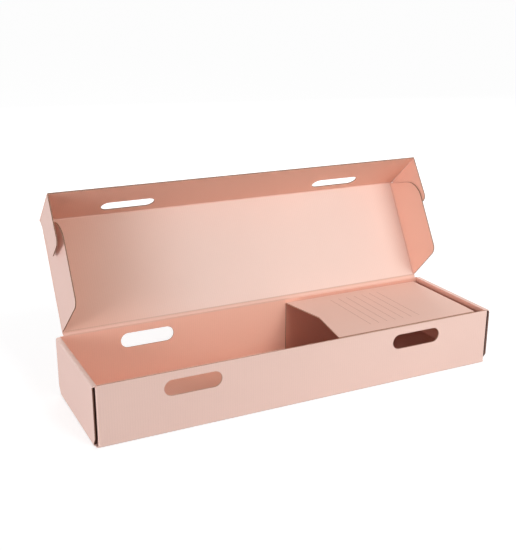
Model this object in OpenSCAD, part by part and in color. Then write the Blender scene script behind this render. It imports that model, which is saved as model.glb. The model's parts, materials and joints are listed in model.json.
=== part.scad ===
// Long corrugated mailer box with rolled end walls, shown open.
// One folded sheet makes the tray, the lid and the lid's flaps. A second
// folded sheet makes the raised deck that stands in the right half.
// Origin: middle of the tray's underside. +X runs along the box, -Y is the
// front, +Z is up. Millimetres.

/* [Board] */
// Thickness of the corrugated board
board = 1.6; // [1.2:0.1:2.4]
// Inner radius of a fixed fold
fold_r = 0.6; // [0.4:0.1:1.2]
// Play between the two sides of a moving crease
crease_play = 0.3; // [0.3:0.05:0.6]

/* [Tray] */
// Outer length of the tray
tray_l = 600; // [480:5:720]
// Outer width of the tray
tray_w = 173; // [150:1:220]
// Height of the front wall and the rolled ends
tray_h = 83; // [70:1:110]
// Air between the outer end panel and the corner flap behind it
outer_air = 2.2; // [0.3:0.1:3]
// Air between the corner flap and the inner end panel
inner_air = 0.2; // [0.2:0.1:0.6]
// Length of a corner flap, trapped inside the rolled end
corner_flap_l = 62; // [40:1:68]
// Set-back of the end panel's cut edge from the front and back faces
end_inset = 0.8; // [0.4:0.1:3]
// Width of the relief cut at each lower corner of an end panel
relief_w = 7; // [2:0.5:15]
// Height of that relief cut
relief_h = 11; // [4:0.5:25]
// Width of a locking tab under an inner end panel
tab_w = 32; // [15:1:45]
// Distance of each locking tab from the middle of the end wall
tab_pos = 42; // [30:1:48]
// Play round a locking tab in its slit
tab_play = 0.3; // [0.2:0.05:0.8]

/* [Finger slots] */
// Overall length of a finger slot
slot_l = 79; // [50:1:100]
// Height of a finger slot
slot_h = 22; // [16:1:28]
// Distance of each slot's centre from the middle of the box
slot_x = 170; // [110:1:180]
// Drop of the slots' centre line below the rim of the tray
slot_drop = 22; // [18:1:34]

/* [Lid] */
// Opening angle of the lid from shut
lid_open = 120; // [95:1:175]
// Play between the shut lid and the rim of the tray
lid_play = 0.4; // [0.3:0.1:1]
// Distance of the front crease from the inside of the front wall when shut
tuck_inset = 7.6; // [6:0.1:14]
// Distance of the second score line from the hinge crease
score_pos = 4.5; // [3:0.1:8]
// Width of the pressed score line
score_w = 0.9; // [0.5:0.1:1.5]
// Depth of the pressed score line
score_depth = 0.3; // [0.1:0.05:0.5]

/* [Tuck flap] */
// Fold angle of the tuck flap from flat
tuck_fold = 79; // [60:1:90]
// Room between the tuck flap's free edge and the floor of the shut box
tuck_room = 5.6; // [4:0.1:30]

/* [Ears] */
// Fold angle of the ears from flat
ear_fold = 90; // [0:1:90]
// Length of an ear beyond its crease
ear_l = 68; // [40:1:90]
// Taper of the ear's edge next to the lid
ear_lid_taper = 17; // [16:0.5:24]
// Taper of the ear's edge next to the tuck flap's free edge
ear_free_taper = 8; // [2:0.5:16]
// Radius of the ear's two outer corners
ear_r = 9; // [3:0.5:14]
// Play between an ear and the inside of the end wall
ear_play = 0.5; // [0.4:0.1:1.5]

/* [Dust flaps] */
// Fold angle of the left dust flap from flat
left_dust_fold = 97; // [90:1:110]
// Fold angle of the right dust flap from flat
right_dust_fold = 90; // [90:1:110]
// Room between a dust flap's free edge and the floor of the shut box
dust_room = 11.6; // [6:0.1:40]
// Start of the dust flap's root from the hinge crease
dust_root = 5; // [3:0.5:12]
// Slope of the dust flap's edge next to the hinge
dust_rear_angle = 16.5; // [8:0.5:25]
// Radius of the dust flap's rear corner
dust_rear_r = 14; // [5:0.5:20]
// Slope of the dust flap's edge next to the tuck flap
dust_front_angle = 17; // [17:0.5:24]
// Radius of the dust flap's front corner
dust_front_r = 34; // [10:1:40]
// Play between a dust flap and the ear outside it
dust_play = 0.6; // [0.4:0.1:1.5]
// Play at the dust flaps' creases, wider so that they fold well past square
dust_crease_play = 1.2; // [1.2:0.1:2]

/* [Insert] */
// Length of the deck from its right edge
deck_l = 235; // [150:1:300]
// Drop of the deck's top below the rim of the tray
deck_drop = 5; // [3:0.1:12]
// Depth of the notch in the deck's left edge
notch = 14; // [4:0.5:30]
// Slot left open between the front wall and the deck, for the tuck flap
deck_front_gap = 14; // [13:0.5:30]
// Play between the deck and the dust flap that hangs beside it
deck_side_play = 1.9; // [1:0.1:4]
// Play between the insert's rear leg and the back wall
leg_play = 0.3; // [0.2:0.1:1]
// Cut-back of a leg's ends from the deck's rear right corner
leg_inset = 3; // [2.5:0.5:10]
// Cut-back of the side leg from the deck's front edge, where the tuck flap leans in
side_leg_inset = 19; // [18:0.5:60]

/* [Hidden] */
$fn = 48;
eps = 0.01;
print_pink = [0.91, 0.69, 0.62];
deep_pink = [0.87, 0.62, 0.55];

// Outer radius of a fixed fold, and half the board
out_r = fold_r + board;
half = board / 2;
// Distance from a moving crease's axis to the edge of the panel that swings
crease_edge = half + crease_play;

// Layers of a rolled end wall, from outside to inside
end_x = tray_l / 2;
flap_x = end_x - board - outer_air;
inner_x = flap_x - board - inner_air;
room_x = inner_x - board;
// Half-length of the front and back walls up to their corner folds
wall_x = flap_x - out_r;
// Inside faces of the front and back walls
room_y = tray_w / 2 - board;
// Half-width of the inner end panels, between the two long walls
roll_y = room_y - tab_play;

// Hinge of the lid, at the middle of the board
hinge_y = tray_w / 2 - half;
hinge_z = tray_h + lid_play + half;
// Creases of the ears and of the dust flaps
ear_x = room_x - ear_play - half;
dust_x = ear_x - board - dust_play;
// Lid and flaps, from crease to crease or free edge
lid_d = hinge_y + room_y - tuck_inset;
tuck_d = hinge_z - board - tuck_room;
dust_d = hinge_z - board - dust_room;
slot_z = tray_h - slot_drop;
tuck_slot_d = hinge_z - slot_z;

// Deck of the insert
deck_z = tray_h - deck_drop;
deck_right = dust_x - half - deck_side_play;
deck_left = deck_right - deck_l;
deck_back = room_y - leg_play;
deck_front = -room_y + deck_front_gap;

// Points along an arc from angle a0 to angle a1
function arc(c, r, a0, a1, n = 10) =
    [for (i = [0:n]) c + r * [cos(a0 + (a1 - a0) * i / n), sin(a0 + (a1 - a0) * i / n)]];

// Points of corner p rounded by radius r, between the neighbours before and after it
function rounded(before, p, after, r) =
    let (u = (before - p) / norm(before - p))
    let (v = (after - p) / norm(after - p))
    let (turn = acos(u * v))
    let (m = (u + v) / norm(u + v))
    let (c = p + m * r / sin(turn / 2))
    let (s = p + u * r / tan(turn / 2) - c)
    let (e = p + v * r / tan(turn / 2) - c)
    let (start = atan2(s[1], s[0]))
    let (sweep = atan2(s[0] * e[1] - s[1] * e[0], s * e))
    arc(c, r, start, start + sweep);

// Closed slot with round ends, lying along the first axis
module slot_2d() {
    straight = slot_l - slot_h;
    square([straight, slot_h], center = true);
    for (side = [-1, 1]) translate([side * straight / 2, 0]) circle(d = slot_h);
}

// Cutter for a pair of finger slots through an upright wall
module slot_pair(y) {
    for (side = [-1, 1])
        translate([side * slot_x, y + 2 * board, slot_z])
            rotate([90, 0, 0]) linear_extrude(4 * board) slot_2d();
}

// Quarter-round section of a fixed fold, with its centre at the origin
module fold_2d() {
    difference() {
        intersection() {
            circle(r = out_r);
            translate([0, -out_r]) square(out_r);
        }
        circle(r = fold_r);
    }
}

// Half-round lip that a moving crease turns on, along X
module crease_lip(length) {
    rotate([0, 90, 0]) cylinder(d = board, h = length, center = true);
}

// Floor with the slits that the locking tabs drop into
module floor_panel() {
    difference() {
        translate([-end_x + out_r, -tray_w / 2 + out_r, 0])
            cube([tray_l - 2 * out_r, tray_w - 2 * out_r, board]);
        for (end = [-1, 1], side = [-1, 1])
            translate([end * (room_x + half), side * tab_pos, half])
                cube([board + 2 * tab_play, tab_w + 2 * tab_play, 2 * board], center = true);
    }
}

// Long wall with its floor fold, on the front side
module long_wall(height) {
    difference() {
        translate([-wall_x, -tray_w / 2, out_r]) cube([2 * wall_x, board, height - out_r]);
        slot_pair(-tray_w / 2);
    }
    translate([-wall_x, -tray_w / 2 + out_r, out_r])
        rotate([90, 0, 90]) linear_extrude(2 * wall_x) mirror([1, 0]) fold_2d();
}

// Corner fold and trapped flap at the right end of the front wall
module corner_flap() {
    flap_top = tray_h - board - inner_air;
    flap_foot = out_r + inner_air;
    translate([wall_x, -tray_w / 2 + out_r, flap_foot])
        linear_extrude(flap_top - flap_foot) fold_2d();
    translate([flap_x - board, -tray_w / 2 + out_r - eps, flap_foot])
        cube([board, corner_flap_l, flap_top - flap_foot]);
}

// Right end wall: outer panel, rolled top, inner panel and its locking tabs
module rolled_end() {
    half_w = tray_w / 2 - end_inset;
    shoulder = tray_h - out_r;
    translate([end_x - board, 0, 0]) rotate([90, 0, 90]) linear_extrude(board)
        polygon([
            [-half_w + relief_w, out_r - eps], [half_w - relief_w, out_r - eps],
            [half_w, out_r + relief_h], [half_w, shoulder - board],
            [roll_y, shoulder + eps], [-roll_y, shoulder + eps],
            [-half_w, shoulder - board], [-half_w, out_r + relief_h]
        ]);
    translate([end_x - out_r, half_w - relief_w, out_r])
        rotate([90, 0, 0]) linear_extrude(2 * (half_w - relief_w)) fold_2d();
    translate([0, roll_y, 0]) rotate([90, 0, 0]) linear_extrude(2 * roll_y) {
        translate([end_x - out_r, shoulder]) mirror([0, 1]) fold_2d();
        translate([room_x + out_r - eps, tray_h - board])
            square([end_x - room_x - 2 * out_r + 2 * eps, board]);
        translate([room_x + out_r, shoulder]) rotate(180) fold_2d();
        translate([room_x, board + inner_air]) square([board, shoulder - board - inner_air + eps]);
    }
    for (side = [-1, 1])
        translate([room_x, side * tab_pos - tab_w / 2, inner_air])
            cube([board, tab_w, board + inner_air]);
}

module tray() {
    color(print_pink) {
        floor_panel();
        long_wall(tray_h);
        rotate([0, 0, 180]) long_wall(tray_h);
        translate([0, hinge_y, tray_h + (hinge_z - tray_h) / 2])
            cube([2 * dust_x, board, hinge_z - tray_h + 2 * eps], center = true);
        translate([0, hinge_y, hinge_z]) crease_lip(2 * dust_x);
        for (turn = [0, 180]) rotate([0, 0, turn]) {
            corner_flap();
            mirror([1, 0, 0]) corner_flap();
            rolled_end();
        }
    }
}

// Outline of the deck, with the notched left edge
module deck_2d() {
    polygon([
        [deck_left, deck_back - out_r], [deck_left + notch, (deck_back + deck_front) / 2],
        [deck_left, deck_front], [deck_right - out_r, deck_front],
        [deck_right - out_r, deck_back - out_r]
    ]);
}

// Section of a leg with its fold, hanging from an edge of the deck at the origin
module leg_2d() {
    mirror([0, 1]) fold_2d();
    translate([fold_r, board + out_r - deck_z]) square([board, deck_z - out_r - board]);
}

module insert() {
    back_l = deck_right - out_r - leg_inset - deck_left;
    side_l = deck_back - out_r - leg_inset - deck_front - side_leg_inset;
    color(deep_pink) {
        translate([0, 0, deck_z - board]) linear_extrude(board) deck_2d();
        difference() {
            translate([deck_left, deck_back - out_r, deck_z - out_r])
                rotate([90, 0, 90]) linear_extrude(back_l) leg_2d();
            slot_pair(deck_back);
        }
        translate([deck_right - out_r, deck_front + side_leg_inset + side_l, deck_z - out_r])
            rotate([90, 0, 0]) linear_extrude(side_l) leg_2d();
    }
}

// Frame of the lid: origin on the hinge crease, shut lid towards -Y
module on_lid() {
    translate([0, hinge_y, hinge_z]) rotate([-lid_open, 0, 0]) children();
}

// Frame of the tuck flap: origin on the front crease, flat flap towards -Y
module on_tuck() {
    on_lid() translate([0, -lid_d, 0]) rotate([tuck_fold, 0, 0]) children();
}

module lid() {
    color(print_pink) on_lid() {
        difference() {
            translate([-dust_x, -lid_d, -half]) cube([2 * dust_x, lid_d - crease_edge, board]);
            translate([-dust_x - eps, -score_pos - score_w / 2, -half - eps])
                cube([2 * (dust_x + eps), score_w, score_depth + eps]);
        }
        translate([0, -lid_d, 0]) crease_lip(2 * dust_x);
        for (side = [-1, 1])
            translate([side * dust_x, -crease_edge, 0]) rotate([90, 0, 0])
                cylinder(d = board, h = lid_d - crease_edge);
    }
}

module tuck_flap() {
    color(print_pink) on_tuck() {
        difference() {
            translate([-ear_x, -tuck_d, -half]) cube([2 * ear_x, tuck_d - crease_edge, board]);
            for (side = [-1, 1])
                translate([side * slot_x, -tuck_slot_d, -board]) linear_extrude(2 * board) slot_2d();
        }
        for (side = [-1, 1])
            translate([side * ear_x, -crease_edge, 0]) rotate([90, 0, 0])
                cylinder(d = board, h = tuck_d - crease_edge);
    }
}

// Right dust flap, flat, with its crease on the second axis
module dust_flap_flat() {
    edge = half + dust_crease_play;
    root = [edge, -dust_root];
    rear = [dust_d, -dust_root - dust_d * tan(dust_rear_angle)];
    top = [edge, -lid_d + crease_edge + board];
    front = [dust_d, top[1] + dust_d * tan(dust_front_angle)];
    translate([0, 0, -half]) linear_extrude(board)
        polygon(concat(
            [root],
            rounded(root, rear, front, dust_rear_r),
            rounded(rear, front, top, dust_front_r),
            [top]
        ));
}

module left_dust_flap() {
    color(print_pink) on_lid() translate([-dust_x, 0, 0]) rotate([0, -left_dust_fold, 0])
        mirror([1, 0, 0]) dust_flap_flat();
}

module right_dust_flap() {
    color(print_pink) on_lid() translate([dust_x, 0, 0]) rotate([0, right_dust_fold, 0])
        dust_flap_flat();
}

// Right ear, flat, with its crease on the second axis
module ear_flat() {
    lid_root = [crease_edge, -crease_edge - board];
    lid_tip = [ear_l, lid_root[1] - ear_l * tan(ear_lid_taper)];
    free_root = [crease_edge, -tuck_d + half];
    free_tip = [ear_l, free_root[1] + ear_l * tan(ear_free_taper)];
    translate([0, 0, -half]) linear_extrude(board)
        polygon(concat(
            [lid_root],
            rounded(lid_root, lid_tip, free_tip, ear_r),
            rounded(lid_tip, free_tip, free_root, ear_r),
            [free_root]
        ));
}

module left_ear() {
    color(deep_pink) on_tuck() translate([-ear_x, 0, 0]) rotate([0, -ear_fold, 0])
        mirror([1, 0, 0]) ear_flat();
}

module right_ear() {
    color(deep_pink) on_tuck() translate([ear_x, 0, 0]) rotate([0, ear_fold, 0]) ear_flat();
}

tray();
insert();
lid();
tuck_flap();
left_dust_flap();
right_dust_flap();
left_ear();
right_ear();
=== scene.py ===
import json
import math

import bmesh
import bpy
import numpy as np
from mathutils import Matrix


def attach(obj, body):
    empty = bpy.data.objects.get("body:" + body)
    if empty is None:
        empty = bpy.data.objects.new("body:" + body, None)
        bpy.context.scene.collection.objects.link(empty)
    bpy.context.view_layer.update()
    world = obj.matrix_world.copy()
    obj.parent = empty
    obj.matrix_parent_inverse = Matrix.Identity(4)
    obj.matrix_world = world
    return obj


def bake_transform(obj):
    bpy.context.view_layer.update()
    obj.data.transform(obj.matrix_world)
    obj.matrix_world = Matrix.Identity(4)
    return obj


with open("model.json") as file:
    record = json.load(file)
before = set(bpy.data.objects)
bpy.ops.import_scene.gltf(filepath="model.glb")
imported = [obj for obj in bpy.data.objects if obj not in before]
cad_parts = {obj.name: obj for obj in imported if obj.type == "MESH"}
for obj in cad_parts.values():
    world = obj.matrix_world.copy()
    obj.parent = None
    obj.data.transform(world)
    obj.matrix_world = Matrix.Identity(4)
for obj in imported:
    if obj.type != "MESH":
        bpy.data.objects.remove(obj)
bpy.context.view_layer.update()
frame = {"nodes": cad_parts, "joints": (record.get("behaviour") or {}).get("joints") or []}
joints = {j["name"]: j for j in frame["joints"]}
mm = 0.001
xAxis = np.array([1.0, 0.0, 0.0])
yAxis = np.array([0.0, 1.0, 0.0])
zAxis = np.array([0.0, 0.0, 1.0])
print("frame loaded:", ", ".join(sorted(frame["nodes"])))


# unit vector along v
def unit(v):
    v = np.asarray(v, float)
    return v / np.linalg.norm(v)


# place of each panel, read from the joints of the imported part
hingePos = np.array(joints["lid_hinge"]["pos_m"])
tuckPos = np.array(joints["tuck_crease"]["pos_m"])
lidDir = unit(tuckPos - hingePos)
lidIn = np.cross(xAxis, lidDir)  # towards the inside of the shut box
tuckDir = unit(joints["right_ear_crease"]["axis"])
tuckDir = tuckDir * np.sign(tuckDir[2])
tuckIn = np.cross(xAxis, tuckDir)

# sizes in millimetres that the cut edges and creases follow
board = dict(thick=1.6, half=0.8, edge=1.1, flutePitch=3.3)
tray = dict(endX=300.0, wallX=294.0, wallY=85.7, height=83.0, endY=85.7, rollY=84.6, foldOuter=2.2)
tray.update(relief=(78.7, 2.2, 13.2), shoulder=(79.2, 80.8))
slots = dict(x=170.0, z=61.0, length=79.0, height=22.0, tuckDepth=23.2)
lid = dict(depth=163.0, dustX=289.3, earX=291.5, tuckDepth=77.0, score=4.5)
dust = dict(depth=71.0, edge=2.0, root=5.0, rearAngle=16.5, rearR=14.0, frontAngle=17.0, frontR=34.0)
dust.update(leftFold=97.0, rightFold=90.0)
ear = dict(length=68.0, lidTaper=17.0, freeTaper=8.0, r=9.0)
deck = dict(left=51.6, right=284.4, back=82.4, front=-70.9, middle=6.85, top=78.0, notch=14.0)
deck.update(legY=83.8, legX=285.8, legFront=-51.9, legTop=75.8)


# shader helpers

# one Math node, with numbers or sockets as inputs
def mathNode(tree, operation, *inputs):
    node = tree.nodes.new("ShaderNodeMath")
    node.operation = operation
    for i, value in enumerate(inputs):
        if hasattr(value, "is_output"):
            tree.links.new(value, node.inputs[i])
        else:
            node.inputs[i].default_value = value
    return node.outputs[0]


# object coordinates of the shaded point
def objectPlace(tree):
    return tree.nodes.new("ShaderNodeTexCoord").outputs["Object"]


# X, Y and Z of a vector socket
def splitNode(tree, vector):
    node = tree.nodes.new("ShaderNodeSeparateXYZ")
    tree.links.new(vector, node.inputs[0])
    return node.outputs


# dot product of a vector socket with a fixed direction
def dotNode(tree, vector, direction):
    node = tree.nodes.new("ShaderNodeVectorMath")
    node.operation = "DOT_PRODUCT"
    node.inputs[1].default_value = tuple(direction)
    tree.links.new(vector, node.inputs[0])
    return node.outputs["Value"]


# smooth step of a socket from low to high, as 0 to 1
def rampNode(tree, value, low, high, toLow=0.0, toHigh=1.0):
    node = tree.nodes.new("ShaderNodeMapRange")
    node.interpolation_type = "SMOOTHSTEP"
    tree.links.new(value, node.inputs["Value"])
    node.inputs["From Min"].default_value = low
    node.inputs["From Max"].default_value = high
    node.inputs["To Min"].default_value = toLow
    node.inputs["To Max"].default_value = toHigh
    return node.outputs["Result"]


# noise on object coordinates, stretched by the three scales
def noiseNode(tree, vector, scale, detail, stretch=(1.0, 1.0, 1.0), rough=0.5):
    mapping = tree.nodes.new("ShaderNodeMapping")
    mapping.inputs["Scale"].default_value = stretch
    tree.links.new(vector, mapping.inputs["Vector"])
    node = tree.nodes.new("ShaderNodeTexNoise")
    node.inputs["Scale"].default_value = scale
    node.inputs["Detail"].default_value = detail
    node.inputs["Roughness"].default_value = rough
    tree.links.new(mapping.outputs["Vector"], node.inputs["Vector"])
    return node.outputs["Fac"]


# new shader group with its sockets: each is (name, kind, in or out, default)
def newGroup(name, sockets):
    tree = bpy.data.node_groups.new(name, "ShaderNodeTree")
    for label, kind, way, default in sockets:
        socket = tree.interface.new_socket(label, in_out=way, socket_type=kind)
        if default is not None:
            socket.default_value = default
    source = tree.nodes.new("NodeGroupInput")
    sink = tree.nodes.new("NodeGroupOutput")
    return tree, source, sink


paperSpec = dict(cloud=0.07, fibre=0.06, fleck=0.10, rib=0.012, rough=(0.54, 0.70))


# printed paper: colour times one plus cloud, fibre and rib, less dark flecks; height from fibre and rib
def paperGroup():
    tree, source, sink = newGroup("printedPaper", [
        ("Colour", "NodeSocketColor", "INPUT", (0.8, 0.56, 0.48, 1.0)),
        ("Rib", "NodeSocketFloat", "INPUT", 0.0),
        ("Colour", "NodeSocketColor", "OUTPUT", None),
        ("Roughness", "NodeSocketFloat", "OUTPUT", None),
        ("Height", "NodeSocketFloat", "OUTPUT", None),
    ])
    place = objectPlace(tree)
    cloud = noiseNode(tree, place, 7.0, 3.0)
    fibre = noiseNode(tree, place, 520.0, 5.0, (1.0, 2.6, 1.7), 0.62)
    fleck = rampNode(tree, noiseNode(tree, place, 1500.0, 2.0), 0.69, 0.77)
    turns = mathNode(tree, "MULTIPLY", source.outputs["Rib"], 2 * math.pi / (board["flutePitch"] * mm))
    wave = mathNode(tree, "SINE", turns)
    shade = mathNode(tree, "MULTIPLY_ADD", cloud, paperSpec["cloud"], 1.0 - paperSpec["cloud"] / 2)
    shade = mathNode(tree, "SUBTRACT", shade, paperSpec["fibre"] / 2)
    shade = mathNode(tree, "MULTIPLY_ADD", fibre, paperSpec["fibre"], shade)
    shade = mathNode(tree, "MULTIPLY_ADD", wave, paperSpec["rib"], shade)
    shade = mathNode(tree, "SUBTRACT", shade, mathNode(tree, "MULTIPLY", fleck, paperSpec["fleck"]))
    tint = tree.nodes.new("ShaderNodeVectorMath")
    tint.operation = "SCALE"
    tree.links.new(source.outputs["Colour"], tint.inputs[0])
    tree.links.new(shade, tint.inputs["Scale"])
    low, high = paperSpec["rough"]
    rough = rampNode(tree, fibre, 0.3, 0.7, low, high)
    height = mathNode(tree, "MULTIPLY_ADD", wave, 0.5, fibre)
    tree.links.new(tint.outputs[0], sink.inputs["Colour"])
    tree.links.new(rough, sink.inputs["Roughness"])
    tree.links.new(height, sink.inputs["Height"])
    return tree


wearSpec = dict(reach=4.0, strength=0.55)


# wear on the tray's folds: product of two nearnesses to the outer box, broken up by noise
def foldWearGroup():
    tree, source, sink = newGroup("foldWear", [("Wear", "NodeSocketFloat", "OUTPUT", None)])
    place = objectPlace(tree)
    x, y, z = splitNode(tree, place)
    reach = wearSpec["reach"] * mm
    endX, wallY = tray["endX"] * mm, (tray["wallY"] + board["half"]) * mm
    nearX = rampNode(tree, mathNode(tree, "ABSOLUTE", x), endX - reach, endX)
    nearY = rampNode(tree, mathNode(tree, "ABSOLUTE", y), wallY - reach, wallY)
    nearFloor = rampNode(tree, z, reach, 0.0)
    nearRim = rampNode(tree, z, tray["height"] * mm - reach, tray["height"] * mm)
    pairs = [(nearX, nearFloor), (nearX, nearRim), (nearY, nearFloor), (nearX, nearY)]
    edge = mathNode(tree, "MULTIPLY", *pairs[0])
    for one, two in pairs[1:]:
        edge = mathNode(tree, "MAXIMUM", edge, mathNode(tree, "MULTIPLY", one, two))
    broken = rampNode(tree, noiseNode(tree, place, 160.0, 4.0), 0.38, 0.66)
    tree.links.new(mathNode(tree, "MULTIPLY", edge, broken), sink.inputs["Wear"])
    return tree


printedPaper = paperGroup()
foldWear = foldWearGroup()


# material with a Principled shader, and its tree
def newMaterial(name, roughness=0.6, specular=0.5):
    material = bpy.data.materials.new(name)
    material.use_nodes = True
    tree = material.node_tree
    shader = tree.nodes["Principled BSDF"]
    shader.inputs["Roughness"].default_value = roughness
    shader.inputs["Specular IOR Level"].default_value = specular
    return material, tree, shader


# bump from a height socket to the shader's normal
def addBump(tree, shader, height, strength, distance):
    bump = tree.nodes.new("ShaderNodeBump")
    bump.inputs["Strength"].default_value = strength
    bump.inputs["Distance"].default_value = distance
    tree.links.new(height, bump.inputs["Height"])
    tree.links.new(bump.outputs["Normal"], shader.inputs["Normal"])


# colour mix, factor from a socket
def mixColour(tree, factor, one, two):
    node = tree.nodes.new("ShaderNodeMix")
    node.data_type = "RGBA"
    tree.links.new(factor, node.inputs["Factor"])
    sockets = [s for s in node.inputs if s.type == "RGBA"]
    for socket, value in zip(sockets, (one, two)):
        if hasattr(value, "is_output"):
            tree.links.new(value, socket)
        else:
            socket.default_value = value
    return [s for s in node.outputs if s.type == "RGBA"][0]


# one board colour as a pale tint for faces out in the light and a deep tint for inside faces: painted light
# and shade
boardTint = dict(pale=(0.79, 0.55, 0.475, 1.0), deep=(0.80, 0.45, 0.34, 1.0), deck=(0.80, 0.53, 0.44, 1.0))
# the lid's inside tint, and the deeper tint painted on its left end and hinge strip as shade
boardTint.update(lidInside=(0.75, 0.55, 0.475, 1.0), drift=(0.66, 0.38, 0.285, 1.0))
# painted shade: a dark tint for the insert's legs and underside, below the deck
boardTint.update(covered=(0.62, 0.27, 0.19, 1.0))
# painted shade on the tray's room faces behind and below the deck, and a near black painted shade in the
# gaps of the rolled ends
boardTint.update(beside=(0.66, 0.34, 0.255, 1.0), gap=(0.16, 0.07, 0.05, 1.0))
boardTint.update(paper=(0.87, 0.70, 0.62, 1.0), shade=(0.42, 0.24, 0.18, 1.0), fold=(0.73, 0.45, 0.36, 1.0))


# limits of the tints: a face counts as looking along a direction above facing, and as an end wall above
# endWall; the others bound the tray's room, the fade of the painted shade past the deck's left edge and the
# painted shade in the gap of a rolled end, in millimetres
maskSpec = dict(facing=0.3, endWall=0.8, roomX=293.4, roomY=85.3, deckFade=40.0)
maskSpec.update(gapX=297.3, gapHalf=1.3, gapY=85.2, gapTop=81.3)


# 1 on the faces that look along a direction, 0 on the others
def facingMask(tree, direction):
    normal = tree.nodes.new("ShaderNodeTexCoord").outputs["Normal"]
    return mathNode(tree, "GREATER_THAN", dotNode(tree, normal, direction), maskSpec["facing"])


# 1 on the tray's faces inside its room, 0 outside, from object coordinates; these faces take the deep tint,
# painted shade
def roomMask(tree):
    x, y, z = splitNode(tree, objectPlace(tree))
    inX = mathNode(tree, "LESS_THAN", mathNode(tree, "ABSOLUTE", x), maskSpec["roomX"] * mm)
    inY = mathNode(tree, "LESS_THAN", mathNode(tree, "ABSOLUTE", y), maskSpec["roomY"] * mm)
    inZ = mathNode(tree, "GREATER_THAN", z, board["half"] * mm)
    return mathNode(tree, "MULTIPLY", mathNode(tree, "MULTIPLY", inX, inY), inZ)


# painted shade: 0 to 1 behind and below the deck, from its left edge on
def deckShadeRamp(tree):
    x = splitNode(tree, objectPlace(tree))["X"]
    return rampNode(tree, x, deck["left"] * mm, (deck["left"] + maskSpec["deckFade"]) * mm)


# painted shade: 1 on the faces hidden in the gap of a rolled end, between its outer panel and the corner
# flap
def gapShadeMask(tree):
    x, y, z = splitNode(tree, objectPlace(tree))
    past = mathNode(tree, "SUBTRACT", mathNode(tree, "ABSOLUTE", x), maskSpec["gapX"] * mm)
    inX = mathNode(tree, "LESS_THAN", mathNode(tree, "ABSOLUTE", past), maskSpec["gapHalf"] * mm)
    inY = mathNode(tree, "LESS_THAN", mathNode(tree, "ABSOLUTE", y), maskSpec["gapY"] * mm)
    inZ = mathNode(tree, "LESS_THAN", z, maskSpec["gapTop"] * mm)
    aboveFold = mathNode(tree, "GREATER_THAN", z, tray["foldOuter"] * mm)
    near = mathNode(tree, "MULTIPLY", inX, inY)
    return mathNode(tree, "MULTIPLY", mathNode(tree, "MULTIPLY", near, inZ), aboveFold)


# distance past the score line, along the lid from the hinge
def scoreDistance(tree):
    far = dotNode(tree, objectPlace(tree), lidDir)
    return mathNode(tree, "SUBTRACT", far, float(hingePos @ lidDir) + lid["score"] * mm)


# where the painted shade on the lid's inside fades in towards its left end, its strength there, and its
# strength below the score line
driftSpec = dict(left=-280.0, fade=-60.0, amount=1.0, strip=0.8)
scoreSpec = dict(outer=0.9, inner=0.3, strength=0.45)


# painted shade on the lid's inside: a deeper tint that fades in towards its left end, and fills the strip
# below the score line
def lidShadeMask(tree, mask):
    x = splitNode(tree, objectPlace(tree))["X"]
    drift = rampNode(tree, x, driftSpec["fade"] * mm, driftSpec["left"] * mm, 0.0, driftSpec["amount"])
    below = mathNode(tree, "LESS_THAN", scoreDistance(tree), 0.0)
    strip = mathNode(tree, "MULTIPLY", below, driftSpec["strip"])
    return mathNode(tree, "MULTIPLY", mathNode(tree, "MAXIMUM", drift, strip), mask)


# printed board: paper group along ribDir, pale outside and deep inside, a lit and a shaded copy of one
# board colour as painted light and shade, with fold wear, painted shade beside the deck, in the rolled
# ends' gaps and on the lid's inside, and a score line where asked
def boardMaterial(name, outside="pale", inside="deep", inDir=None, ribDir=None, wearAndShade=False, scoreAndLidShade=False):
    material, tree, shader = newMaterial(name)
    place = objectPlace(tree)
    group = tree.nodes.new("ShaderNodeGroup")
    group.node_tree = printedPaper
    mask = roomMask(tree) if inDir is None else facingMask(tree, inDir)
    base = mixColour(tree, mask, boardTint[outside], boardTint[inside])
    if wearAndShade:
        # painted shade on the tray's room faces past the deck's left edge, then painted shade in the rolled
        # ends' gaps
        base = mixColour(tree, mathNode(tree, "MULTIPLY", mask, deckShadeRamp(tree)), base, boardTint["beside"])
        base = mixColour(tree, gapShadeMask(tree), base, boardTint["gap"])
    # painted shade on the lid's inside, deeper towards its left end and below the score line
    if scoreAndLidShade:
        base = mixColour(tree, lidShadeMask(tree, mask), base, boardTint["drift"])
    tree.links.new(base, group.inputs["Colour"])
    if ribDir is None:  # the tray: ribs count along X, and along Z on its end walls
        xyz = splitNode(tree, place)
        x, z = xyz["X"], xyz["Z"]
        facing = splitNode(tree, tree.nodes.new("ShaderNodeNewGeometry").outputs["Normal"])["X"]
        endWall = mathNode(tree, "GREATER_THAN", mathNode(tree, "ABSOLUTE", facing), maskSpec["endWall"])
        along = mathNode(tree, "MULTIPLY_ADD", mathNode(tree, "SUBTRACT", z, x), endWall, x)
    else:
        along = dotNode(tree, place, ribDir)
    tree.links.new(along, group.inputs["Rib"])
    colour = group.outputs["Colour"]
    if wearAndShade:
        wear = tree.nodes.new("ShaderNodeGroup")
        wear.node_tree = foldWear
        amount = mathNode(tree, "MULTIPLY", wear.outputs["Wear"], wearSpec["strength"])
        colour = mixColour(tree, amount, colour, boardTint["paper"])
    if scoreAndLidShade:  # dark line of the second crease next to the hinge
        off = mathNode(tree, "ABSOLUTE", scoreDistance(tree))
        dark = rampNode(tree, off, scoreSpec["outer"] * mm, scoreSpec["inner"] * mm)
        line = mathNode(tree, "MULTIPLY", dark, scoreSpec["strength"])
        colour = mixColour(tree, line, colour, boardTint["shade"])
    tree.links.new(colour, shader.inputs["Base Color"])
    tree.links.new(group.outputs["Roughness"], shader.inputs["Roughness"])
    addBump(tree, shader, group.outputs["Height"], strength=0.12, distance=0.0004)
    return material


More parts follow.
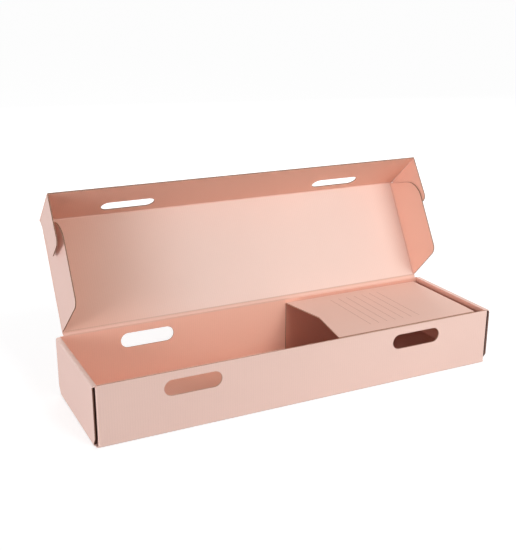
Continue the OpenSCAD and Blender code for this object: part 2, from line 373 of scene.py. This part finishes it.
# kraft paper seen on a cut edge: colour between two tones by fine noise, with fibre bump
def kraftMaterial(name, light, dark, scale):
    material, tree, shader = newMaterial(name, 0.85, 0.15)
    place = objectPlace(tree)
    grain = noiseNode(tree, place, scale, 4.0, (1.0, 1.0, 1.6), 0.6)
    colour = mixColour(tree, rampNode(tree, grain, 0.3, 0.7), dark, light)
    tree.links.new(colour, shader.inputs["Base Color"])
    tree.links.new(rampNode(tree, grain, 0.2, 0.8, 0.95, 0.75), shader.inputs["Roughness"])
    addBump(tree, shader, grain, strength=0.3, distance=0.0002)
    return material


flapIn = {}
for side, word in ((-1, "left"), (1, "right")):  # direction from each crease out along its flap
    fold = math.radians(dust[word + "Fold"])
    flapIn[word + "_dust_flap"] = side * xAxis * math.cos(fold) + lidIn * math.sin(fold)
flapIn["left_ear"] = tuckIn
flapIn["right_ear"] = tuckIn
nodeLooks = {
    # the tray takes fold wear, with painted shade beside the deck and in the rolled ends' gaps
    "tray": dict(wearAndShade=True),
    # the insert's faces that don't look up take a dark tint, painted shade below the deck
    "insert": dict(outside="covered", inside="deck", inDir=zAxis, ribDir=xAxis),
    "lid": dict(inside="lidInside", inDir=lidIn, ribDir=xAxis, scoreAndLidShade=True),
    "tuck_flap": dict(inDir=tuckIn, ribDir=xAxis),
}
for side, word in ((-1, "left"), (1, "right")):
    for flap, along in ((word + "_dust_flap", lidDir), (word + "_ear", tuckDir)):
        nodeLooks[flap] = dict(inDir=-side * np.cross(along, flapIn[flap]), ribDir=flapIn[flap])
for node, look in nodeLooks.items():
    material = boardMaterial(node + "Board", **look)
    mesh = frame["nodes"][node].data
    mesh.materials.clear()
    mesh.materials.append(material)
linerCut = kraftMaterial("linerCut", (0.60, 0.38, 0.29, 1.0), (0.46, 0.27, 0.20, 1.0), 900.0)
fluteMedium = kraftMaterial("fluteMedium", (0.44, 0.27, 0.18, 1.0), (0.33, 0.19, 0.12, 1.0), 1100.0)
fluteShadow = kraftMaterial("fluteShadow", (0.22, 0.12, 0.08, 1.0), (0.15, 0.08, 0.05, 1.0), 700.0)
# lighter kraft for the front rim and the deck's edges: painted highlight along their top edges
rimLiner = kraftMaterial("rimLiner", (0.72, 0.47, 0.38, 1.0), (0.60, 0.37, 0.29, 1.0), 900.0)
rimFlute = kraftMaterial("rimFlute", (0.56, 0.34, 0.25, 1.0), (0.44, 0.26, 0.18, 1.0), 1100.0)
# the end panels' cut edges near black: dark kraft with painted shade of the gap beside them
endEdgeShade = kraftMaterial("endEdgeShade", (0.17, 0.06, 0.04, 1.0), (0.11, 0.04, 0.028, 1.0), 900.0)
cutLooks = dict(plain=(linerCut, fluteShadow, fluteMedium), rim=(rimLiner, fluteMedium, rimFlute))
cutLooks.update(end=(endEdgeShade, fluteShadow, endEdgeShade))
print("materials made:", len(bpy.data.materials))


# mesh helpers

# mesh object from points, faces and material numbers, with its normals turned outwards
def meshPiece(name, points, faces, slotsOf, materials, body=None):
    mesh = bpy.data.meshes.new(name)
    mesh.from_pydata(points.tolist(), [], faces)
    for material in materials:
        mesh.materials.append(material)
    mesh.polygons.foreach_set("material_index", np.asarray(slotsOf, np.int32))
    work = bmesh.new()
    work.from_mesh(mesh)
    bmesh.ops.recalc_face_normals(work, faces=work.faces)
    work.to_mesh(mesh)
    work.free()
    mesh.update()
    piece = bpy.data.objects.new(name, mesh)
    bpy.context.scene.collection.objects.link(piece)
    if body:
        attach(piece, body)
    return piece


# closed tube of faces over a grid of rings, as index lists; open rows get a cap at both ends
def tubeFaces(rings, around, closed, first=0):
    row = np.arange(rings if closed else rings - 1)
    ring, k = np.meshgrid(row, np.arange(around), indexing="ij")
    nextRing = (ring + 1) % rings
    nextK = (k + 1) % around
    here, after = ring * around, nextRing * around
    quads = np.stack([here + k, here + nextK, after + nextK, after + k], -1)
    faces = (quads.reshape(-1, 4) + first).tolist()
    if not closed:
        faces.append((np.arange(around)[::-1] + first).tolist())
        faces.append((np.arange(around) + (rings - 1) * around + first).tolist())
    return faces


# left-hand normals of a path at its points, mitred at the corners
def pathNormals(path, closed):
    step = np.diff(np.vstack([path, path[:1]]) if closed else path, axis=0)
    step = step / np.linalg.norm(step, axis=1)[:, None]
    left = np.stack([-step[:, 1], step[:, 0]], 1)
    before = np.roll(left, 1, axis=0) if closed else np.vstack([left[:1], left])
    after = left if closed else np.vstack([left, left[-1:]])
    joined = before + after
    joined = joined / np.linalg.norm(joined, axis=1)[:, None]
    return joined / np.clip((joined * before).sum(1), 0.6, 1.0)[:, None]


# points of a corner rounded by radius r: arc about the centre on the bisector
def roundedCorner(before, corner, after, r, steps=10):
    before, corner, after = (np.array(p, float) for p in (before, corner, after))
    u, v = unit(before - corner), unit(after - corner)
    turn = math.acos(float(u @ v))
    centre = corner + unit(u + v) * r / math.sin(turn / 2)
    first = corner + u * r / math.tan(turn / 2) - centre
    last = corner + v * r / math.tan(turn / 2) - centre
    start = math.atan2(first[1], first[0])
    sweep = math.atan2(first[0] * last[1] - first[1] * last[0], float(first @ last))
    angle = start + sweep * np.linspace(0, 1, steps + 1)
    return centre + r * np.stack([np.cos(angle), np.sin(angle)], 1)


# outline of a finger slot: two half circles joined by straights, counter-clockwise
def slotOutline(x, y, steps=16):
    r = slots["height"] / 2
    reach = slots["length"] / 2 - r
    angle = np.linspace(-math.pi / 2, math.pi / 2, steps + 1)
    half = np.stack([reach + r * np.cos(angle), r * np.sin(angle)], 1)
    return np.vstack([half, -half]) + [x, y]


edgeSpec = dict(proud=0.18, dip=0.05, liner=0.27, wave=0.42, paper=0.1, crest=0.14, perWave=10)


# cut edge of corrugated board: two liners with a sunk floor between, carried along the cut;
# the fluting is a thin ribbon whose place across the board is a sine of the distance across the flutes
def cutEdge(name, body, panel, paths, ribs=(1.0, 0.0), look="plain"):
    origin, across, along, through = panel
    half, spec = board["half"], edgeSpec
    inner = half - spec["liner"]
    profile = np.array([
        (-half, -0.02), (-half, spec["proud"]), (-inner, spec["proud"]), (-inner, spec["dip"]),
        (inner, spec["dip"]), (inner, spec["proud"]), (half, spec["proud"]), (half, -0.02),
    ])
    profileSlots = np.array([0, 0, 0, 1, 0, 0, 0, 1])
    points, faces, marks, count = [], [], [], 0
    for path, closed in paths:
        path = np.asarray(path, float)
        out = pathNormals(path, closed)
        flat = path[:, None, :] + profile[None, :, 1:2] * out[:, None, :]
        wide = np.broadcast_to(profile[None, :, 0], flat.shape[:2])
        points.append(np.concatenate([flat, wide[..., None]], -1).reshape(-1, 3))
        tube = tubeFaces(len(path), len(profile), closed, count)
        caps = 0 if closed else 2
        spans = (len(tube) - caps) // len(profile)
        marks.append(np.concatenate([np.tile(profileSlots, spans), np.zeros(caps, int)]))
        faces += tube
        count += points[-1].shape[0]
        loop = np.vstack([path, path[:1]]) if closed else path
        far = np.concatenate([[0.0], np.cumsum(np.linalg.norm(np.diff(loop, axis=0), axis=1))])
        rings = max(8, int(far[-1] / board["flutePitch"] * spec["perWave"]))
        s = np.linspace(0, far[-1], rings, endpoint=not closed)
        fine = np.stack([np.interp(s, far, loop[:, i]) for i in (0, 1)], 1)
        outLoop = np.vstack([out, out[:1]]) if closed else out
        fineOut = np.stack([np.interp(s, far, outLoop[:, i]) for i in (0, 1)], 1)
        place = spec["wave"] * np.sin(2 * math.pi * (fine @ np.array(ribs)) / board["flutePitch"])
        slope = np.abs(np.gradient(place, s[1] - s[0]))
        paper = spec["paper"] * np.clip(np.sqrt(1 + slope ** 2), 1.0, 1.5)
        wide = np.stack([place - paper, place - paper, place + paper, place + paper], 1)
        rise = np.array([0.0, spec["crest"], spec["crest"], 0.0])
        flat = fine[:, None, :] + rise[None, :, None] * fineOut[:, None, :]
        points.append(np.concatenate([flat, wide[..., None]], -1).reshape(-1, 3))
        tube = tubeFaces(rings, 4, closed, count)
        marks.append(np.full(len(tube), 2))
        faces += tube
        count += points[-1].shape[0]
    flat = np.vstack(points) * mm
    world = origin + flat[:, :1] * across + flat[:, 1:2] * along + flat[:, 2:3] * through
    piece = meshPiece(name, world, faces, np.concatenate(marks), cutLooks[look], body)
    return piece


frontWall = (np.array([0, -tray["wallY"] * mm, 0]), xAxis, zAxis, yAxis)
backWall = (np.array([0, tray["wallY"] * mm, 0]), xAxis, zAxis, yAxis)
rim = np.array([(-tray["wallX"], tray["height"]), (tray["wallX"], tray["height"])])
wallSlots = [(slotOutline(side * slots["x"], slots["z"]), True) for side in (-1, 1)]
cutEdge("frontWallEdges", "tray", frontWall, [(rim, False)] + wallSlots, look="rim")
cutEdge("backWallEdges", "tray", backWall, wallSlots)
low, foot, top = tray["relief"]
neck, brow = tray["shoulder"]
endFront = np.array([(-low, foot), (-tray["endY"], top), (-tray["endY"], neck), (-tray["rollY"], brow)])
endBack = endFront[::-1] * [-1, 1]
for side, word in ((-1, "left"), (1, "right")):
    endPanel = (np.array([side * (tray["endX"] - board["half"]) * mm, 0, 0]), yAxis, zAxis, xAxis)
    cutEdge(word + "EndEdges", "tray", endPanel, [(endFront, False), (endBack, False)], (0.0, 1.0), "end")

tuckPanel = (tuckPos, xAxis, tuckDir, tuckIn)
freeEdge = np.array([(-lid["earX"], lid["tuckDepth"]), (lid["earX"], lid["tuckDepth"])])
tuckSlots = [(slotOutline(side * slots["x"], slots["tuckDepth"]), True) for side in (-1, 1)]
cutEdge("tuckEdges", "tuck", tuckPanel, [(freeEdge, False)] + tuckSlots)


# outline of a dust flap in (distance out from the crease, distance along the lid), both corners rounded
def dustOutline():
    root = (dust["edge"], -dust["root"])
    rear = (dust["depth"], -dust["root"] - dust["depth"] * math.tan(math.radians(dust["rearAngle"])))
    topPoint = (dust["edge"], -lid["depth"] + board["edge"] + board["thick"])
    front = (dust["depth"], topPoint[1] + dust["depth"] * math.tan(math.radians(dust["frontAngle"])))
    rearArc = roundedCorner(root, rear, front, dust["rearR"])
    frontArc = roundedCorner(rear, front, topPoint, dust["frontR"])
    return np.vstack([[root], rearArc, frontArc, [topPoint]])


# outline of an ear in (distance out from the crease, distance along the tuck flap), both tips rounded
def earOutline():
    lidRoot = (board["edge"], -board["edge"] - board["thick"])
    lidTip = (ear["length"], lidRoot[1] - ear["length"] * math.tan(math.radians(ear["lidTaper"])))
    freeRoot = (board["edge"], -lid["tuckDepth"] + board["half"])
    freeTip = (ear["length"], freeRoot[1] + ear["length"] * math.tan(math.radians(ear["freeTaper"])))
    lidArc = roundedCorner(lidRoot, lidTip, freeTip, ear["r"])
    freeArc = roundedCorner(lidTip, freeTip, freeRoot, ear["r"])
    return np.vstack([[lidRoot], lidArc, freeArc, [freeRoot]])


for side, word in ((-1, "left"), (1, "right")):
    flap = flapIn[word + "_dust_flap"]
    crease = hingePos + side * lid["dustX"] * mm * xAxis
    panel = (crease, flap, -lidDir, np.cross(flap, lidDir))
    cutEdge(word + "DustEdges", word + "_dust", panel, [(dustOutline(), False)])
    flap = flapIn[word + "_ear"]
    crease = tuckPos + side * lid["earX"] * mm * xAxis
    panel = (crease, flap, -tuckDir, np.cross(flap, tuckDir))
    cutEdge(word + "EarEdges", word + "_ear", panel, [(earOutline(), False)])

deckPanel = (np.array([0, 0, (deck["top"] - board["half"]) * mm]), xAxis, yAxis, zAxis)
deckPath = np.array([
    (deck["right"], deck["legFront"]), (deck["right"], deck["front"]), (deck["left"], deck["front"]),
    (deck["left"] + deck["notch"], deck["middle"]), (deck["left"], deck["back"]),
])
cutEdge("deckEdges", "tray", deckPanel, [(deckPath, False)], look="rim")
legBack = (np.array([0, deck["legY"] * mm, 0]), xAxis, zAxis, yAxis)
legPath = np.array([(deck["left"], board["thick"]), (deck["left"], deck["legTop"])])
legSlot = slotOutline(slots["x"], slots["z"])
cutEdge("backLegEdges", "tray", legBack, [(legPath, False), (legSlot, True)])
legSide = (np.array([deck["legX"] * mm, 0, 0]), yAxis, zAxis, xAxis)
legPath = np.array([(deck["legFront"], board["thick"]), (deck["legFront"], deck["legTop"])])
cutEdge("sideLegEdges", "tray", legSide, [(legPath, False)], (0.0, 1.0))
print("cut edges made")

foldSpec = dict(skin=0.05, crack=0.22, middle=0.25, band=(0.16, 0.03), arc=10, stations=41)
foldSpec.update(reach=2.2, dustReach=2.6, hingeX=289.2, tuckX=290.4, dustEnd=161.4, earEnds=(1.3, 76.1))


# board of a fold: paper group, with the print cracked to bare paper near the middle of the fold
def foldMaterial():
    material, tree, shader = newMaterial("foldedBoard")
    group = tree.nodes.new("ShaderNodeGroup")
    group.node_tree = printedPaper
    # the fold's tint lies between the pale and deep board tints and is darker still: painted shade on the
    # bend
    group.inputs["Colour"].default_value = boardTint["fold"]
    mapped = tree.nodes.new("ShaderNodeUVMap")
    mapped.uv_map = "foldMap"
    across = splitNode(tree, mapped.outputs["UV"])["X"]
    off = mathNode(tree, "ABSOLUTE", mathNode(tree, "SUBTRACT", across, foldSpec["middle"]))
    band = rampNode(tree, off, *foldSpec["band"])
    place = objectPlace(tree)
    broken = rampNode(tree, noiseNode(tree, place, 380.0, 4.0), 0.42, 0.62)
    crack = mathNode(tree, "MULTIPLY", mathNode(tree, "MULTIPLY", band, broken), foldSpec["crack"])
    colour = mixColour(tree, crack, group.outputs["Colour"], boardTint["paper"])
    tree.links.new(colour, shader.inputs["Base Color"])
    tree.links.new(group.outputs["Roughness"], shader.inputs["Roughness"])
    addBump(tree, shader, group.outputs["Height"], strength=0.2, distance=0.0003)
    return material


foldedBoard = foldMaterial()


# sleeve over a crease: the board's two faces offset by a thin skin, an arc about the crease on the
# outside of the bend and a sharp corner on its inside, carried straight along the crease
def foldSleeve(name, bodies, axisPoint, axisDir, ends, parent, parentIn, child, reach):
    childIn = parentIn * float(-parent @ child) + parent * float(parentIn @ child)
    bend = math.atan2(float(child @ parentIn), float(-parent @ child))
    turnSide = 1.0 if bend > 0 else -1.0
    r = board["half"] + foldSpec["skin"]
    angle = np.linspace(0, bend, foldSpec["arc"] + 1)[:, None]
    arc = -turnSide * r * (parentIn * np.cos(angle) + parent * np.sin(angle))
    inside = turnSide * r
    corner = inside * parentIn + parent * r * math.tan(abs(bend) / 2)
    loop = np.vstack([
        [parent * reach - turnSide * r * parentIn], arc, [child * reach - turnSide * r * childIn],
        [child * reach + inside * childIn], [corner], [parent * reach + inside * parentIn],
    ]) * mm
    stations = np.linspace(ends[0], ends[1], foldSpec["stations"]) * mm
    world = axisPoint + stations[:, None, None] * axisDir + loop[None, :, :]
    faces = tubeFaces(len(stations), len(loop), False)
    piece = meshPiece(name, world.reshape(-1, 3), faces, np.zeros(len(faces), int), [foldedBoard])
    uvLayer = piece.data.uv_layers.new(name="foldMap")
    corners = np.zeros(len(piece.data.loops), np.int32)
    piece.data.loops.foreach_get("vertex_index", corners)
    share = np.concatenate([np.linspace(0, 0.5, len(loop) - 3), np.linspace(0.6, 0.9, 3)])
    uv = np.stack([share[corners % len(loop)], stations[corners // len(loop)]], 1)
    uvLayer.data.foreach_set("uv", uv.ravel().astype(np.float32))
    mid = axisPoint + axisDir * 0.5 * (ends[0] + ends[1]) * mm
    turns = [tuple(mid + parent * reach * 0.6 * mm), tuple(mid + child * reach * 0.6 * mm)]
    if bodies[1] == "left_dust":  # the left dust flap's sleeve takes its two bodies and turn points in the other order
        bodies, turns = bodies[::-1], turns[::-1]
    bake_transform(piece)
    return piece


reach = foldSpec["reach"]
ends = (-foldSpec["hingeX"], foldSpec["hingeX"])
foldSleeve("hingeFold", ("tray", "lid"), hingePos, xAxis, ends, -zAxis, -yAxis, lidDir, reach)
ends = (-foldSpec["tuckX"], foldSpec["tuckX"])
foldSleeve("tuckFold", ("lid", "tuck"), tuckPos, xAxis, ends, -lidDir, lidIn, tuckDir, reach)
for side, word in ((-1, "left"), (1, "right")):
    crease = hingePos + side * lid["dustX"] * mm * xAxis
    flap = flapIn[word + "_dust_flap"]
    pair, ends = ("lid", word + "_dust"), (dust["root"], foldSpec["dustEnd"])
    inward = -side * xAxis
    foldSleeve(word + "DustFold", pair, crease, lidDir, ends, inward, lidIn, flap, foldSpec["dustReach"])
    crease = tuckPos + side * lid["earX"] * mm * xAxis
    flap = flapIn[word + "_ear"]
    pair, ends = ("tuck", word + "_ear"), foldSpec["earEnds"]
    foldSleeve(word + "EarFold", pair, crease, tuckDir, ends, inward, tuckIn, flap, reach)
print("fold sleeves made")

lineSpec = dict(count=7, first=(118.0, -48.0), length=112.0, pitch=14.0, wide=0.7, high=0.04)


# ruled lines on the deck: a low rectangle carried straight along each line
def ruledLines():
    material, tree, shader = newMaterial("lineInk", 0.6, 0.4)
    place = objectPlace(tree)
    spread = rampNode(tree, noiseNode(tree, place, 900.0, 3.0), 0.35, 0.65)
    ink = mixColour(tree, spread, (0.42, 0.20, 0.15, 1.0), (0.56, 0.30, 0.23, 1.0))
    tree.links.new(ink, shader.inputs["Base Color"])
    tree.links.new(rampNode(tree, spread, 0.0, 1.0, 0.55, 0.68), shader.inputs["Roughness"])
    half, low, high = lineSpec["wide"] / 2, deck["top"] - 0.02, deck["top"] + lineSpec["high"]
    profile = np.array([(-half, low), (-half, high), (half, high), (half, low)])
    stations = np.linspace(0, lineSpec["length"], 9)
    points, faces = [], []
    for i in range(lineSpec["count"]):
        x = lineSpec["first"][0] + i * lineSpec["pitch"]
        y = np.broadcast_to((lineSpec["first"][1] + stations)[:, None], (len(stations), 4))
        grid = np.broadcast_to(profile[None], (len(stations), 4, 2))
        points.append(np.stack([x + grid[..., 0], y, grid[..., 1]], -1).reshape(-1, 3))
        faces += tubeFaces(len(stations), 4, False, i * len(stations) * 4)
    marks = np.zeros(len(faces), int)
    piece = meshPiece("deckLines", np.vstack(points) * mm, faces, marks, [material], "tray")


ruledLines()
print("ruled lines made")

# plain floor and light
floorSpec = dict(size=60.0, z=-0.0004, albedo=(0.5, 0.5, 0.5, 1.0), near=(0.45, 0.64), far=(1.6, 0.78))
lightSpec = dict(world=0.40, key=4.2, left=33.5, spread=62.0, behind=26.0)


# 1 for rays from the camera, a mirror or a clear piece, 0 for the light that falls on the box
def seenRays(tree):
    path = tree.nodes.new("ShaderNodeLightPath")
    seen = mathNode(tree, "MAXIMUM", path.outputs["Is Camera Ray"], path.outputs["Is Glossy Ray"])
    return mathNode(tree, "MAXIMUM", seen, path.outputs["Is Transmission Ray"])


# flat floor: x and y on a grid, z constant
def makeFloor():
    line = np.linspace(-floorSpec["size"] / 2, floorSpec["size"] / 2, 5)
    gx, gy = np.meshgrid(line, line, indexing="ij")
    points = np.stack([gx, gy, np.full_like(gx, floorSpec["z"])], -1).reshape(-1, 3)
    i, j = np.meshgrid(np.arange(4), np.arange(4), indexing="ij")
    quads = np.stack([i * 5 + j, (i + 1) * 5 + j, (i + 1) * 5 + j + 1, i * 5 + j + 1], -1).reshape(-1, 4)
    mesh = bpy.data.meshes.new("floor")
    mesh.from_pydata(points.tolist(), [], quads.tolist())
    mesh.update()
    floor = bpy.data.objects.new("floor", mesh)
    bpy.context.scene.collection.objects.link(floor)
    material, tree, shader = newMaterial("paleFloor", 0.9, 0.0)
    shader.inputs["Base Color"].default_value = floorSpec["albedo"]
    shader.inputs["Emission Color"].default_value = (1.0, 1.0, 1.0, 1.0)
    seen = seenRays(tree)
    place = objectPlace(tree)
    reach = tree.nodes.new("ShaderNodeVectorMath")
    reach.operation = "LENGTH"
    tree.links.new(place, reach.inputs[0])
    near, far = floorSpec["near"], floorSpec["far"]
    lift = rampNode(tree, reach.outputs["Value"], near[0], far[0], near[1], far[1])
    tree.links.new(mathNode(tree, "MULTIPLY", seen, lift), shader.inputs["Emission Strength"])
    mesh.materials.append(material)


# area lamp at a place, aimed at a target
def areaLamp(name, place, target, size, power, spread=180.0, tint=(1.0, 1.0, 1.0)):
    data = bpy.data.lights.new(name, "AREA")
    data.shape = "RECTANGLE"
    data.size, data.size_y = size
    data.energy = power
    data.color = tint
    data.spread = math.radians(spread)
    lamp = bpy.data.objects.new(name, data)
    back = unit(np.array(place) - np.array(target))
    right = unit(np.cross(zAxis, back))
    upward = np.cross(back, right)
    turn = Matrix(np.array([right, upward, back]).T.tolist()).to_4x4()
    lamp.matrix_world = Matrix.Translation(place) @ turn
    bpy.context.scene.collection.objects.link(lamp)


makeFloor()
areaLamp("key", (0.66, -1.48, 1.12), (0.38, 0.0, 0.12), (1.3, 1.0), lightSpec["key"], lightSpec["spread"])
coolWhite = (0.95, 0.95, 1.0)
areaLamp("leftSide", (-2.4, -0.85, 0.45), (0.0, 0.0, 0.1), (1.2, 0.8), lightSpec["left"], tint=coolWhite)
areaLamp("behind", (0.5, 2.3, 1.3), (0.0, 0.1, 0.1), (2.2, 1.2), lightSpec["behind"])
world = bpy.data.worlds.new("studio")
bpy.context.scene.world = world
world.use_nodes = True
tree = world.node_tree
seen = seenRays(tree)
level = mathNode(tree, "MULTIPLY_ADD", seen, 1.0 - lightSpec["world"], lightSpec["world"])
sky = tree.nodes["Background"]
sky.inputs["Color"].default_value = (1.0, 1.0, 1.0, 1.0)
tree.links.new(level, sky.inputs["Strength"])

# camera at the photograph's viewing angle
cameraSpec = dict(place=(-0.5496, -1.0334, 0.541), lens=62.03)
cameraRight = np.array([0.8965, -0.44304, 0.00296])
cameraDown = np.array([-0.13657, -0.28268, -0.94944])
cameraAhead = np.array([0.42148, 0.85077, -0.31393])
cameraData = bpy.data.cameras.new("camera")
cameraData.sensor_fit = "HORIZONTAL"
cameraData.sensor_width = 36.0
cameraData.lens = cameraSpec["lens"]
cameraData.clip_end = 200.0
camera = bpy.data.objects.new("camera", cameraData)
turn = Matrix(np.array([cameraRight, -cameraDown, -cameraAhead]).T.tolist()).to_4x4()
camera.matrix_world = Matrix.Translation(cameraSpec["place"]) @ turn
bpy.context.scene.collection.objects.link(camera)
bpy.context.scene.camera = camera
bpy.context.scene.view_settings.view_transform = "Standard"
print("stage, light and camera made")
